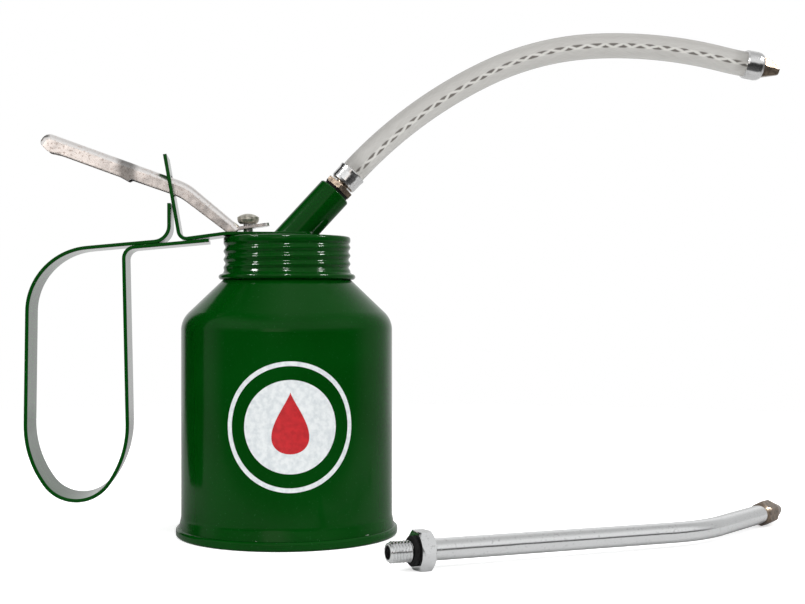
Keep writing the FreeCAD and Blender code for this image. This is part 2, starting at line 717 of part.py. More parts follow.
def spout_socket():
    """Inclined boss: female M8 mouth, check-valve chamber and seat."""
    boss = from_mouth(cylinder(SOCKET_RADIUS, -45, 0))
    edge = [item for item in boss.Edges if item.BoundBox.ZMax > SOCKET_MOUTH.z
            and item.Closed and item.BoundBox.ZLength < 15]
    boss = boss.makeChamfer(0.5, edge[:1])
    below = Part.makeBox(120, 60, 40, Vector(-60, -30, CAP_TOP_Z - CAP_TOP_SHEET - 40))
    boss = boss.cut(below)
    boss = boss.cut(delivery_channel(SOCKET_BORE, -1, 12.0))
    boss = boss.cut(delivery_channel(3.3, 11.0, CHECK_SEAT))
    boss = boss.cut(delivery_channel(CHECK_HOLE, 17.0, 22.0))
    return boss.cut(delivery_channel(3.0 + TOUCH, 20.5, 46.0))


def delivery_tube():
    """Brass tube from the pump head's outlet into the socket, on the spout axis."""
    return from_mouth(tube(3.0, 2.0, -40.5, -20.5 - TOUCH))


def check_ball():
    rise = math.sqrt(CHECK_BALL_RADIUS ** 2 - CHECK_HOLE ** 2) + TOUCH
    centre = SOCKET_MOUTH - SPOUT_DIRECTION * (CHECK_SEAT - rise)
    return Part.makeSphere(CHECK_BALL_RADIUS, centre)


def check_retainer():
    """Pressed ring that limits the check ball's lift."""
    return from_mouth(tube(3.3 - TOUCH, 1.5, -13.0, -12.2))


# ---- flexible spout ----------------------------------------------------------------------------
def m8_thread(low, high):
    """Solid M8 thread along +Z, its ends run out to the root."""
    spacing = M8_PITCH / 8
    rows = thread_rows(M8_RADIUS - M8_WAVE, M8_WAVE, low, high, 1.0, 0.6, spacing, True)
    return capped(screw_skin(rows, M8_PITCH, spacing))


def spout_washer():
    return from_mouth(tube(5.75, M8_RADIUS + 0.15, TOUCH, 1.2))


def hose_union():
    """Hexagon with a threaded stem below and a ribbed barb above."""
    hexagon_part = hexagon(12.0, 1.2 + TOUCH, 3.4)
    chamfer = turned([(0, 1.0), (6.3, 1.0), (7.2, 1.9), (7.2, 2.7), (6.3, 3.6), (0, 3.6)])
    body = hexagon_part.common(chamfer)
    body = body.fuse(m8_thread(-8.5, 1.0))
    body = body.fuse(cylinder(3.2, 0.5, 3.0))
    body = body.fuse(barb(3.0, 20.0))
    return from_mouth(body.cut(cylinder(1.7, -10, 30)))


def barb(low, high):
    """Spigot with three ribs under the crimped sleeve and a slimmer, tapered lead."""
    ribs = 3
    rib_length = (FERRULE_END - HOSE_START - 0.4) / ribs
    profile = [(0, low), (2.7, low)]
    for index in range(ribs):
        start = HOSE_START + 0.2 + index * rib_length
        profile += [(2.7, start), (HOSE_BORE - RUNNING, start + 0.1), (2.75, start + rib_length)]
    profile += [(2.5, FERRULE_END), (2.5, high - 2.0), (2.1, high), (0, high)]
    return turned(profile)


def lower_ferrule():
    """Crimped sleeve, closed towards the hexagon and belled at its mouth."""
    inside = HOSE_RADIUS + 0.05
    floor = HOSE_START - TOUCH
    points = [(2.75, FERRULE_START), (4.9, FERRULE_START), (5.6, FERRULE_START + 0.5),
              (5.8, FERRULE_START + 1.4), (5.85, FERRULE_END - 1.8), (6.1, FERRULE_END - 0.3),
              (6.0, FERRULE_END), (inside, FERRULE_END), (inside, floor), (2.75, floor)]
    return from_mouth(turned(points))


def hose_frames():
    """Points and headings of the hose's middle: list of (start, heading, length, turn)."""
    point = SOCKET_MOUTH + SPOUT_DIRECTION * FERRULE_END
    heading = SPOUT_ANGLE
    frames = [(SOCKET_MOUTH + SPOUT_DIRECTION * HOSE_START, heading, FERRULE_END - HOSE_START, 0.0)]
    for length, end_heading in HOSE_ARCS:
        turn = end_heading - heading
        frames.append((point, heading, length, turn))
        point = advance(point, heading, length, turn)
        heading = end_heading
    frames.append((point, heading, -UPPER_FERRULE_START, 0.0))
    return frames


def advance(point, heading, length, turn):
    """End point of an arc that starts at a heading and turns while it runs its length."""
    if abs(turn) < 1e-9:
        return point + direction(heading) * length
    chord = length * math.sin(math.radians(turn / 2)) / math.radians(turn / 2)
    return point + direction(heading + turn / 2) * chord


def hose_end():
    """Point and heading where the hose ends inside the upper ferrule."""
    point, heading, length, turn = hose_frames()[-1]
    return advance(point, heading, length, turn), heading + turn


def bend_point():
    """Point and heading of the hose's middle at its bending joint."""
    left = BEND_LENGTH
    for point, heading, length, turn in hose_frames()[1:]:
        if left <= length:
            share = left / length
            return advance(point, heading, left, turn * share), heading + turn * share
        left -= length
    return point, heading


def hose_path(first, last):
    """Wire of the hose's middle between two lengths measured from the lower ferrule's mouth."""
    edges = []
    position = -(FERRULE_END - HOSE_START)
    for point, heading, length, turn in hose_frames():
        begin = max(first, position)
        finish = min(last, position + length)
        if finish - begin > 1e-6:
            slope = turn / length
            start = advance(point, heading, begin - position, slope * (begin - position))
            middle_run = (begin + finish) / 2 - position
            end_run = finish - position
            middle = advance(point, heading, middle_run, slope * middle_run)
            end = advance(point, heading, end_run, slope * end_run)
            if abs(turn) < 1e-9:
                edges.append(Part.makeLine(start, end))
            else:
                edges.append(Part.Arc(start, middle, end).toShape())
        position += length
    return Part.Wire(edges)


def hose_tube(first, last):
    """Hollow hose between two lengths along its middle."""
    path = hose_path(first, last)
    edge = path.OrderedEdges[0]
    start = edge.valueAt(edge.FirstParameter)
    heading = edge.tangentAt(edge.FirstParameter)
    solids = []
    for radius in (HOSE_RADIUS, HOSE_BORE):
        circle = Part.Wire(Part.makeCircle(radius, start, heading))
        solids.append(path.makePipeShell([circle], True, False))
    return solids[0].cut(solids[1])


def hose_lower():
    """Lower hose, ended by a ball at the bending joint."""
    point, heading = bend_point()
    tube_part = hose_tube(-(FERRULE_END - HOSE_START), BEND_LENGTH)
    half_ball = Part.makeSphere(HOSE_BALL_RADIUS, Vector(0, 0, 0), UP, 0, 90, 360)
    half_ball = half_ball.cut(cylinder(HOSE_BORE, -1, 10))
    return tube_part.fuse(along(half_ball, point, direction(heading)))


def hose_upper():
    """Upper hose, its end hollowed round the ball of the lower one."""
    point, heading = bend_point()
    hose_length = sum(length for length, _ in HOSE_ARCS)
    tube_part = hose_tube(BEND_LENGTH + 2.9, hose_length - UPPER_FERRULE_START)
    return tube_part.cut(Part.makeSphere(HOSE_BALL_RADIUS + 0.1, point))


def at_hose_end(shape):
    """Place a shape whose +Z runs outwards, 0 at the hose's upper end."""
    point, heading = hose_end()
    return along(shape, point, direction(heading))


def upper_ferrule():
    """Crimped sleeve with a domed shoulder at the nozzle."""
    low = UPPER_FERRULE_START
    high = UPPER_FERRULE_END
    inside = HOSE_RADIUS + 0.05
    points = [(2.75, TOUCH), (inside, TOUCH), (inside, low), (5.8, low), (6.1, low + 0.7),
              (6.15, high - 2.9), (5.9, high - 1.5), (5.3, high - 0.5), (4.5, high), (2.75, high)]
    return at_hose_end(turned(points))


def flexible_nozzle():
    """Nozzle: a tapered hexagon beyond the ferrule and a ribbed barb inside the hose."""
    base = UPPER_FERRULE_END + TOUCH
    taper = Part.makeLoft([hexagon_outline(4.9, base), hexagon_outline(2.3, FLEXIBLE_TIP)], True, True)
    taper = taper.common(turned([(0, base), (5.2, base), (2.5, FLEXIBLE_TIP - 0.4),
                                 (2.0, FLEXIBLE_TIP), (0, FLEXIBLE_TIP)]))
    spigot = turned([(0, -14.0), (2.0, -14.0), (2.4, -12.0), (2.4, -3.5), (HOSE_BORE - RUNNING, -3.2),
                     (2.7, -0.2), (2.7, base + 0.3), (0, base + 0.3)])
    return at_hose_end(taper.fuse(spigot).cut(cylinder(1.1, -15, FLEXIBLE_TIP + 1)))


# ---- rigid spout -------------------------------------------------------------------------------
def rigid_axis():
    """Heading of the rigid spout's straight run and the tilt of its plane."""
    run = RIGID_BEND - Vector(RIGID_NUT.x, RIGID_NUT.y, 0)
    rest = RIGID_TIP - RIGID_BEND
    drop = RIGID_NUT.z - TIP_COLLAR_RADIUS
    tilt = math.degrees(math.asin(drop / (run.Length + rest.Length)))
    return math.degrees(math.atan2(run.y, run.x)), tilt


def on_floor(shape):
    """Move a shape from the spout's own frame (+X along the straight run, nut at 0) to its place."""
    heading, tilt = rigid_axis()
    moved = shape.copy()
    moved.rotate(Vector(0, 0, 0), DEPTH_AXIS, tilt)
    moved.rotate(Vector(0, 0, 0), UP, heading)
    moved.translate(RIGID_NUT)
    return moved


def lying(shape):
    """Turn a shape built up +Z so that it runs along +X, a flat of its hexagon downwards."""
    moved = shape.copy()
    moved.rotate(Vector(0, 0, 0), DEPTH_AXIS, 90)
    return moved


def rigid_corners():
    """Corners of the tube's middle in the spout's own frame: nut, bend and tip."""
    heading, _ = rigid_axis()
    run = RIGID_BEND - Vector(RIGID_NUT.x, RIGID_NUT.y, 0)
    rest = RIGID_TIP - RIGID_BEND
    turn = math.radians(math.degrees(math.atan2(rest.y, rest.x)) - heading)
    bend = Vector(run.Length, 0, 0)
    tip = bend + Vector(math.cos(turn), math.sin(turn), 0) * rest.Length
    return Vector(0, 0, 0), bend, tip


def rigid_tube():
    """Bent steel tube from the nipple to the nozzle."""
    nut, bend, tip = rigid_corners()
    back = (bend - tip).normalize()
    start = nut + Vector(NUT_LENGTH / 2 - 2.0, 0, 0)
    path = rounded_wire([start, bend, tip + back * (NOZZLE_LENGTH - NOZZLE_DEPTH)],
                        [0, RIGID_BEND_RADIUS, 0])
    solids = []
    for radius in (TUBE_RADIUS, TUBE_RADIUS - TUBE_WALL):
        circle = Part.Wire(Part.makeCircle(radius, start, Vector(1, 0, 0)))
        solids.append(path.makePipeShell([circle], True, False))
    return on_floor(solids[0].cut(solids[1]))


def rigid_nipple():
    """Hexagon nut turned in one piece with its threaded stem; the tube is brazed in behind."""
    half = NUT_LENGTH / 2
    limit = turned([(0, -half), (NUT_FLATS / 2, -half), (8.2, -half + 0.9), (8.2, half - 0.9),
                    (NUT_FLATS / 2, half), (0, half)])
    body = hexagon(NUT_FLATS, -half, half).common(limit)
    body = body.fuse(m8_thread(-half - NIPPLE_REACH, -half - RIGID_SEAL_THICK + 0.4))
    body = body.fuse(cylinder(3.3, -half - 3, -half + 1))
    body = body.cut(cylinder(2.6, -30, 30))
    body = body.cut(cylinder(TUBE_RADIUS + TOUCH, half - 2.0 - TOUCH, 30))
    return on_floor(lying(body))


def rigid_seal():
    """Rubber ring on the plain neck between the nut and the thread."""
    low = -NUT_LENGTH / 2 - RIGID_SEAL_THICK
    high = -NUT_LENGTH / 2 - TOUCH
    ring = turned([(3.35, low), (5.1, low), (5.5, low + 0.4), (5.5, high - 0.4), (5.1, high),
                   (3.35, high)])
    bore = cylinder(M8_RADIUS + TOUCH, low - 1, low + 0.6)
    return on_floor(lying(ring.cut(bore)))


def rigid_nozzle():
    """Long hexagonal collar over the tube's end, chamfered at both ends, then a cone."""
    _, bend, tip = rigid_corners()
    outer = TIP_COLLAR_RADIUS
    collar = hexagon(2 * outer * math.cos(math.radians(30)), 0, NOZZLE_COLLAR)
    collar = collar.common(turned([(0, 0), (4.3, 0), (outer, 2.8), (outer, NOZZLE_COLLAR - 1.2),
                                   (4.6, NOZZLE_COLLAR), (0, NOZZLE_COLLAR)]))
    cone = turned([(0, NOZZLE_COLLAR - 1), (4.5, NOZZLE_COLLAR - 1), (4.5, NOZZLE_COLLAR + 0.3),
                   (2.2, NOZZLE_LENGTH - 0.6), (1.8, NOZZLE_LENGTH), (0, NOZZLE_LENGTH)])
    body = collar.fuse(cone).cut(cylinder(TUBE_RADIUS + TOUCH, -1, NOZZLE_DEPTH + TOUCH))
    body = body.cut(cylinder(0.8, 0, NOZZLE_LENGTH + 1))
    body.rotate(Vector(0, 0, 0), UP, 30)
    ahead = (tip - bend).normalize()
    return on_floor(along(body, tip - ahead * NOZZLE_LENGTH, ahead))


NODES = (can_body, base_plate, neck_ring, label, cap, cap_gasket, lever_guide, handle_loop, lever,
         rod_screw, pump_rod, piston, piston_cup, piston_nut, pump_head, rod_bush, rod_seal,
         pump_barrel, return_spring, foot_valve_body, foot_valve_ball, ball_retainer, dip_tube,
         strainer, spout_socket, delivery_tube, check_ball, check_retainer, spout_washer,
         hose_union, lower_ferrule, hose_lower, hose_upper, upper_ferrule, flexible_nozzle,
         rigid_tube, rigid_nipple, rigid_seal, rigid_nozzle)


def main():
    os.makedirs("parts", exist_ok=True)
    for build in NODES:
        shape = build()
        name = build.__name__
        problems = "" if shape.isValid() and len(shape.Solids) == 1 else "  <-- check"
        box = shape.BoundBox
        print(f"{name:18s} solids {len(shape.Solids)} volume {shape.Volume:10.2f} "
              f"x {box.XMin:7.1f} {box.XMax:7.1f} z {box.ZMin:7.1f} {box.ZMax:7.1f}{problems}")
        shape.exportStep(os.path.join("parts", name + ".step"))


main()
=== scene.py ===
# Looks of the handy oiler can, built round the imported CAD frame. Metres, same frame as the CAD.

import json
import math

import bpy
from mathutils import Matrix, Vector


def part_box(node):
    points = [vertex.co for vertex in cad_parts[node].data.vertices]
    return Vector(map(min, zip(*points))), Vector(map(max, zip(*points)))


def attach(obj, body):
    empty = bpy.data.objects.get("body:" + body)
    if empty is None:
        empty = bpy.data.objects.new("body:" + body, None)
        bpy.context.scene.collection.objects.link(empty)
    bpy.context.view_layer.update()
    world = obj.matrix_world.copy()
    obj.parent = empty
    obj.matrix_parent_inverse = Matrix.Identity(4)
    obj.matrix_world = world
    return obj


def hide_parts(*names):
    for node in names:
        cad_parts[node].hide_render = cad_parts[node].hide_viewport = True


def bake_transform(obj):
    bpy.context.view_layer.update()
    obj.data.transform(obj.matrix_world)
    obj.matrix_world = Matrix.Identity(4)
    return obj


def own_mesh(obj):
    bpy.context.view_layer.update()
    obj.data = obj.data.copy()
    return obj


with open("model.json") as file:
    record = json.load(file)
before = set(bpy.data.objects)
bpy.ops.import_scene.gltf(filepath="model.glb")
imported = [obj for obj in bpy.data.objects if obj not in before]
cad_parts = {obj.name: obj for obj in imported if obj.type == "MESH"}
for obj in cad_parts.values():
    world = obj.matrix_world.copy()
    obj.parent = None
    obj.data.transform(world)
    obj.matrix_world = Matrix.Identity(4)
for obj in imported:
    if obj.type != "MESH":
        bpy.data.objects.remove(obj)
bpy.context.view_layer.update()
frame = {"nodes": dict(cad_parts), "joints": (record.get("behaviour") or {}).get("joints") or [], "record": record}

MM = 0.001
JOINTS = {joint["name"]: joint for joint in frame["joints"]}

# ---- shared dimensions, in millimetres unless a name says otherwise ------------------------------
SPOUT_AXIS = Vector(JOINTS["spout_turn"]["axis"]).normalized()
SPOUT_MOUTH = Vector(JOINTS["spout_turn"]["pos_m"])
SPOUT_ANGLE = math.degrees(math.atan2(SPOUT_AXIS.z, SPOUT_AXIS.x))
HOSE_START = 5.2              # along the spout's axis from its mouth to the hose's lower end
FERRULE_MOUTH = 11.0          # and to where the hose starts to curve
HOSE_ARCS = ((71.2, 26.1), (49.1, 3.65), (56.0, -12.8), (10.0, -9.5))   # length, end heading
HOSE_TAIL = 3.6               # straight length at its upper end
HOSE_RADIUS = 5.3
HOSE_BORE = 3.05              # radius
HOSE_STEP = 2.0               # about, between rings of the hose's mesh
HOSE_SIDES = 48
HOSE_LENGTH = 200.0           # about, to share out what changes along the hose
YARNS = 12                    # yarns wound each way in the hose's sleeve
YARN_STEP = 7.8               # distance between crossings along the hose
BODY_RADIUS = 43.7
LEVER_STEP = -65.3            # where the lever's sides step in
LEVER_STEP_REACH = (2, 5)     # the lever's painted shade patch is full to the first, gone by the second
SPRING_WIRE = 0.5             # radius of the spring's wire
SPRING_TURNS = 9
SPRING_STEPS = 28             # rings of its mesh in each turn
SPRING_SIDES = 12
BADGE_HEIGHT = 48.0           # height of the badge's centre on the wall
BADGE_LIFT = 0.14             # how far the badge stands off the wall
DROP_LIFT = 0.19              # how far the drop on it does
BADGE_BACK = 0.02             # the gap behind both
BADGE_RING = (23.6, 25.4)     # inner and outer radius
BADGE_FIELD = 18.2            # radius
DROP_WIDTH = 10.6
DROP_HEIGHT = 12.0
DROP_RISE = 1.5               # how far the drop's middle lies above the badge's centre


# ---- shader helper -------------------------------------------------------------------------------
class Shader:
    """A node tree with short calls for the nodes used here: a material's, or the world's."""

    def __init__(self, name, world=None):
        self.material = world or bpy.data.materials.new(name)
        self.material.use_nodes = True
        self.tree = self.material.node_tree
        self.base = self.tree.nodes.get("Principled BSDF")
        self.output = self.tree.nodes.get("Material Output")
        coordinates = self.node("ShaderNodeTexCoord")
        self.coordinates = coordinates.outputs["Generated" if world else "Object"]

    def node(self, kind, **settings):
        made = self.tree.nodes.new(kind)
        for key, value in settings.items():
            setattr(made, key, value)
        return made

    def link(self, source, target):
        self.tree.links.new(source, target)

    def set(self, **values):
        for key, value in values.items():
            socket = self.base.inputs[key.replace("_", " ")]
            if hasattr(value, "is_linked"):
                self.link(value, socket)
            else:
                socket.default_value = value

    def noise(self, scale, detail, vector=None):
        made = self.node("ShaderNodeTexNoise")
        made.inputs["Scale"].default_value = scale
        made.inputs["Detail"].default_value = detail
        self.link(vector or self.coordinates, made.inputs["Vector"])
        return made.outputs["Fac"]

    def ramp(self, value, stops):
        made = self.node("ShaderNodeValToRGB")
        elements = made.color_ramp.elements
        while len(elements) < len(stops):
            elements.new(0.5)
        for element, (position, colour) in zip(elements, stops):
            element.position = position
            element.color = (*colour, 1)
        self.link(value, made.inputs["Fac"])
        return made.outputs["Color"]

    def grey_ramp(self, value, stops):
        return self.ramp(value, [(position, (grey, grey, grey)) for position, grey in stops])

    def mix(self, factor, first, second):
        made = self.node("ShaderNodeMix", data_type="RGBA")
        for source, socket in ((factor, made.inputs["Factor"]), (first, made.inputs[6]),
                               (second, made.inputs[7])):
            if hasattr(source, "is_linked"):
                self.link(source, socket)
            else:
                socket.default_value = source if not isinstance(source, tuple) else (*source, 1)
        return made.outputs[2]

    def math(self, operation, first, second=0.0, third=None):
        made = self.node("ShaderNodeMath", operation=operation)
        for index, source in enumerate((first, second, third)):
            if source is None:
                continue
            if hasattr(source, "is_linked"):
                self.link(source, made.inputs[index])
            else:
                made.inputs[index].default_value = source
        return made.outputs["Value"]

    def stretched(self, scale):
        made = self.node("ShaderNodeMapping")
        made.inputs["Scale"].default_value = scale
        self.link(self.coordinates, made.inputs["Vector"])
        return made.outputs["Vector"]

    def axis(self, name):
        made = self.node("ShaderNodeSeparateXYZ")
        self.link(self.coordinates, made.inputs["Vector"])
        return made.outputs[name]

    def bump(self, height, strength, distance, normal=None):
        made = self.node("ShaderNodeBump")
        made.inputs["Strength"].default_value = strength
        made.inputs["Distance"].default_value = distance
        self.link(height, made.inputs["Height"])
        if normal is not None:
            self.link(normal, made.inputs["Normal"])
        return made.outputs["Normal"]

    def facing(self):
        """Grey value that rises from 0 where the surface faces the viewer to 1 at its rims."""
        return self.node("ShaderNodeLayerWeight").outputs["Facing"]

    def edges(self, radius):
        """Grey value that is bright where the surface bends sharply."""
        bevel = self.node("ShaderNodeBevel", samples=4)
        bevel.inputs["Radius"].default_value = radius
        geometry = self.node("ShaderNodeNewGeometry")
        dot = self.node("ShaderNodeVectorMath", operation="DOT_PRODUCT")
        self.link(bevel.outputs["Normal"], dot.inputs[0])
        self.link(geometry.outputs["True Normal"], dot.inputs[1])
        return self.math("SUBTRACT", 1.0, dot.outputs["Value"])


# ---- materials -----------------------------------------------------------------------------------
def enamel(name, roughness):
    """Deep green gloss enamel: faint orange peel, slow colour drift, dust specks, edge chips."""
    shader = Shader(name)
    drift = shader.noise(28, 2)
    colour = shader.ramp(drift, [(0.3, (0.0003, 0.036, 0.0015)), (0.7, (0.0005, 0.045, 0.0025))])
    specks = shader.grey_ramp(shader.noise(1500, 1), [(0.70, 0), (0.76, 1)])
    colour = shader.mix(shader.math("MULTIPLY", specks, 0.18), colour, (0.05, 0.16, 0.07))
    worn = shader.math("MULTIPLY", shader.grey_ramp(shader.edges(0.0006), [(0.06, 0), (0.2, 1)]),
                       shader.grey_ramp(shader.noise(420, 4), [(0.66, 0), (0.70, 1)]))
    colour = shader.mix(worn, colour, (0.62, 0.64, 0.60))
    peel = shader.noise(520, 2)
    slow = shader.noise(60, 1)
    normal = shader.bump(peel, 0.10, 0.0002, shader.bump(slow, 0.12, 0.0008))
    shader.set(Base_Color=colour, Roughness=roughness, Specular_IOR_Level=0.12, Normal=normal)
    return shader.material


def plated(name, tint, roughness, waves, scuffs):
    """Bright plating: soft waves from forming, fine scuffs, dull spots, painted shade towards its rims."""
    shader = Shader(name)
    spots = shader.grey_ramp(shader.noise(900, 3), [(0.60, 0), (0.72, 1)])
    colour = shader.mix(shader.math("MULTIPLY", spots, scuffs), tint,
                        tuple(value * 0.62 for value in tint))
    # painted shade: the colour darkens towards the rims as they turn away from the viewer
    rim_shade = shader.grey_ramp(shader.facing(), [(0.72, 0), (0.92, 0.8)])
    colour = shader.mix(rim_shade, colour, (0.16, 0.17, 0.16))
    fine = shader.noise(1, 4, shader.stretched((400, 2600, 2600)))
    scratch = shader.grey_ramp(fine, [(0.62, 0), (0.68, 1)])
    rough = shader.math("MULTIPLY_ADD", scratch, 0.16 * scuffs, roughness)
    rough = shader.math("MULTIPLY_ADD", spots, 0.18 * scuffs, rough)
    waviness = shader.noise(110, 2)
    normal = shader.bump(waviness, waves, 0.001, shader.bump(fine, 0.05 * scuffs, 0.0001))
    shader.set(Base_Color=colour, Metallic=1.0, Roughness=rough, Normal=normal)
    return shader.material


def turned_metal(name, light, dark, roughness):
    """Turned or cast fitting: mottled tone and fine tool marks."""
    shader = Shader(name)
    mottle = shader.noise(650, 4)
    colour = shader.ramp(mottle, [(0.35, dark), (0.65, light)])
    marks = shader.noise(2400, 2)
    rough = shader.math("MULTIPLY_ADD", mottle, 0.25, roughness - 0.1)
    shader.set(Base_Color=colour, Metallic=1.0, Roughness=rough,
               Normal=shader.bump(marks, 0.12, 0.0001))
    return shader.material


def rubber(name, tone=0.006):
    """Matt black rubber, or cork at a lighter tone, with a fine grain."""
    shader = Shader(name)
    grain = shader.noise(1800, 3)
    colour = shader.grey_ramp(grain, [(0.3, tone * 0.7), (0.7, tone * 1.6)])
    shader.set(Base_Color=colour, Roughness=0.6, Specular_IOR_Level=0.2,
               Normal=shader.bump(grain, 0.3, 0.0001))
    return shader.material


def leather():
    """Oiled brown leather with small cells."""
    shader = Shader("cup_leather")
    cells = shader.node("ShaderNodeTexVoronoi")
    cells.inputs["Scale"].default_value = 1600
    shader.link(shader.coordinates, cells.inputs["Vector"])
    colour = shader.ramp(shader.noise(300, 3), [(0.3, (0.10, 0.05, 0.02)), (0.7, (0.2, 0.1, 0.05))])
    shader.set(Base_Color=colour, Roughness=0.5,
               Normal=shader.bump(cells.outputs["Distance"], 0.4, 0.0001))
    return shader.material


def printed(name, colour, second):
    """Ink on foil: slight mottling and a fine grain."""
    shader = Shader(name)
    tone = shader.ramp(shader.noise(500, 4), [(0.35, second), (0.62, colour)])
    shader.set(Base_Color=tone, Roughness=0.38, Coat_Weight=0.3,
               Normal=shader.bump(shader.noise(2200, 2), 0.12, 0.00005))
    return shader.material


def weave_places(shader):
    """Place on the sleeve: share of the hose's length, distance off the line of painted dark dashes, yarn counts.
    """
    weave = shader.node("ShaderNodeUVMap", uv_map="weave")
    split = shader.node("ShaderNodeSeparateXYZ")
    shader.link(weave.outputs["UV"], split.inputs["Vector"])
    share = shader.math("DIVIDE", split.outputs["X"], HOSE_LENGTH)
    # the line of painted dark dashes drifts a little round the hose
    drift = shader.grey_ramp(share, [(0.06, 0.452), (0.50, 0.484), (0.95, 0.466)])
    off_line = shader.math("SUBTRACT", split.outputs["Y"], drift)
    slack = shader.math("MULTIPLY_ADD", shader.noise(130, 2), 0.5, -0.25)
    steps = shader.math("ADD", shader.math("DIVIDE", split.outputs["X"], YARN_STEP), slack)
    turns = shader.math("MULTIPLY_ADD", off_line, YARNS,
                        shader.math("MULTIPLY_ADD", shader.noise(200, 1), 0.30, 0.10))
    left = shader.math("ADD", steps, turns)
    right = shader.math("SUBTRACT", steps, turns)
    return share, off_line, left, right


def woven_cloth(shader, left, right):
    """Grey haze of the sleeve behind the clear wall, streaked along both sets of yarns."""
    streaks = []
    for fast, slow in ((left, right), (right, left)):
        place = shader.node("ShaderNodeCombineXYZ")
        shader.link(shader.math("MULTIPLY", fast, 5.0), place.inputs["X"])
        shader.link(shader.math("MULTIPLY", slow, 0.5), place.inputs["Y"])
        streaks.append(shader.noise(1, 3, place.outputs["Vector"]))
    both = shader.math("MULTIPLY_ADD", streaks[0], 0.5, shader.math("MULTIPLY", streaks[1], 0.5))
    cloth = shader.grey_ramp(both, [(0.35, 0.36), (0.65, 0.47)])
    return shader.mix(0.5, cloth, (0.46, 0.445, 0.41))


def weave_painted_dashes(shader, cloth, off_line, left, right):
    """The sleeve's tone, with painted highlights on the yarns and painted shade in the gaps between them along a
    fixed line on the hose.
    """
    # only along a fixed band on the hose: painted shade in the gaps, painted highlight on the yarns
    straight = shader.grey_ramp(shader.math("ABSOLUTE", off_line), [(0.024, 1), (0.034, 0)])
    open_weave = shader.math("MINIMUM", shader.math("PINGPONG", left, 0.5),
                             shader.math("PINGPONG", right, 0.5))
    gap = shader.math("MULTIPLY", shader.grey_ramp(open_weave, [(0.19, 0), (0.26, 1)]), straight)
    yarn = shader.math("MULTIPLY", shader.grey_ramp(open_weave, [(0.09, 1), (0.15, 0)]), straight)
    colour = shader.mix(shader.math("MULTIPLY", yarn, 0.35), cloth, (0.75, 0.74, 0.70))
    return shader.mix(shader.math("MULTIPLY", gap, 0.85), colour, (0.07, 0.06, 0.05))


def painted_hose_shade(shader, colour):
    """Painted shade: darken a colour on the hose's upper side and towards its rims."""
    geometry = shader.node("ShaderNodeNewGeometry")
    tilt = shader.node("ShaderNodeSeparateXYZ")
    shader.link(geometry.outputs["Normal"], tilt.inputs["Vector"])
    # painted shade on the hose's upper side
    upper = shader.grey_ramp(shader.math("MULTIPLY_ADD", tilt.outputs["Z"], 0.5, 0.5),
                             [(0.35, 0.0), (0.80, 0.42)])
    colour = shader.mix(upper, colour, (0.10, 0.095, 0.09))
    # painted shade towards the hose's rims
    rim_shade = shader.grey_ramp(shader.facing(), [(0.66, 0), (0.90, 0.75)])
    return shader.mix(rim_shade, colour, (0.10, 0.10, 0.09))


def clear_hose():
    """Clear hose over a woven sleeve, see-through only near its ends, with a faint painted glow."""
    shader = Shader("clear_hose")
    share, off_line, left, right = weave_places(shader)
    cloth = woven_cloth(shader, left, right)
    colour = painted_hose_shade(shader, weave_painted_dashes(shader, cloth, off_line, left, right))
    ends = shader.grey_ramp(share, [(0.035, 0.75), (0.065, 0.08), (0.925, 0.08), (0.95, 0.75)])
    # the emission is a painted glow in the hose's own colour that evens out its shading
    shader.set(Base_Color=colour, Roughness=0.35, Transmission_Weight=ends, IOR=1.45,
               Specular_IOR_Level=0.25, Coat_Weight=0.10, Coat_Roughness=0.08,
               Emission_Color=colour, Emission_Strength=0.36,
               Normal=shader.bump(shader.noise(90, 3), 0.10, 0.0006))
    return shader.material


def lever_plating():
    """Dull bright plating, worn pinkish in fine flecks, painted shade along its sharp edges and where the side
    steps in.
    """
    shader = Shader("chrome_lever")
    flecks = shader.grey_ramp(shader.noise(1100, 4), [(0.56, 0), (0.64, 1)])
    colour = shader.mix(shader.math("MULTIPLY", flecks, 0.45), (0.99, 0.96, 0.94), (0.66, 0.47, 0.38))
    # painted shade along the lever's sharp edges
    edge_shade = shader.grey_ramp(shader.edges(0.0006), [(0.03, 0), (0.12, 1)])
    colour = shader.mix(shader.math("MULTIPLY", edge_shade, 0.85), colour, (0.16, 0.11, 0.08))
    step = shader.math("ABSOLUTE", shader.math("ADD", shader.axis("X"), -LEVER_STEP * MM))
    # in centimetres, so that the ramp's places lie between 0 and 1
    full, gone = [reach / 10 for reach in LEVER_STEP_REACH]
    # painted shade where the lever's side steps in
    grey = shader.grey_ramp(shader.math("MULTIPLY", step, 0.1 / MM), [(full, 0.75), (gone, 0)])
    colour = shader.mix(grey, colour, (0.13, 0.13, 0.125))
    fine = shader.noise(1, 4, shader.stretched((400, 2600, 2600)))
    rough = shader.math("MULTIPLY_ADD", flecks, 0.10, 0.20)
    normal = shader.bump(shader.noise(110, 2), 0.22, 0.001, shader.bump(fine, 0.04, 0.0001))
    shader.set(Base_Color=colour, Metallic=1.0, Roughness=rough, Normal=normal)
    return shader.material


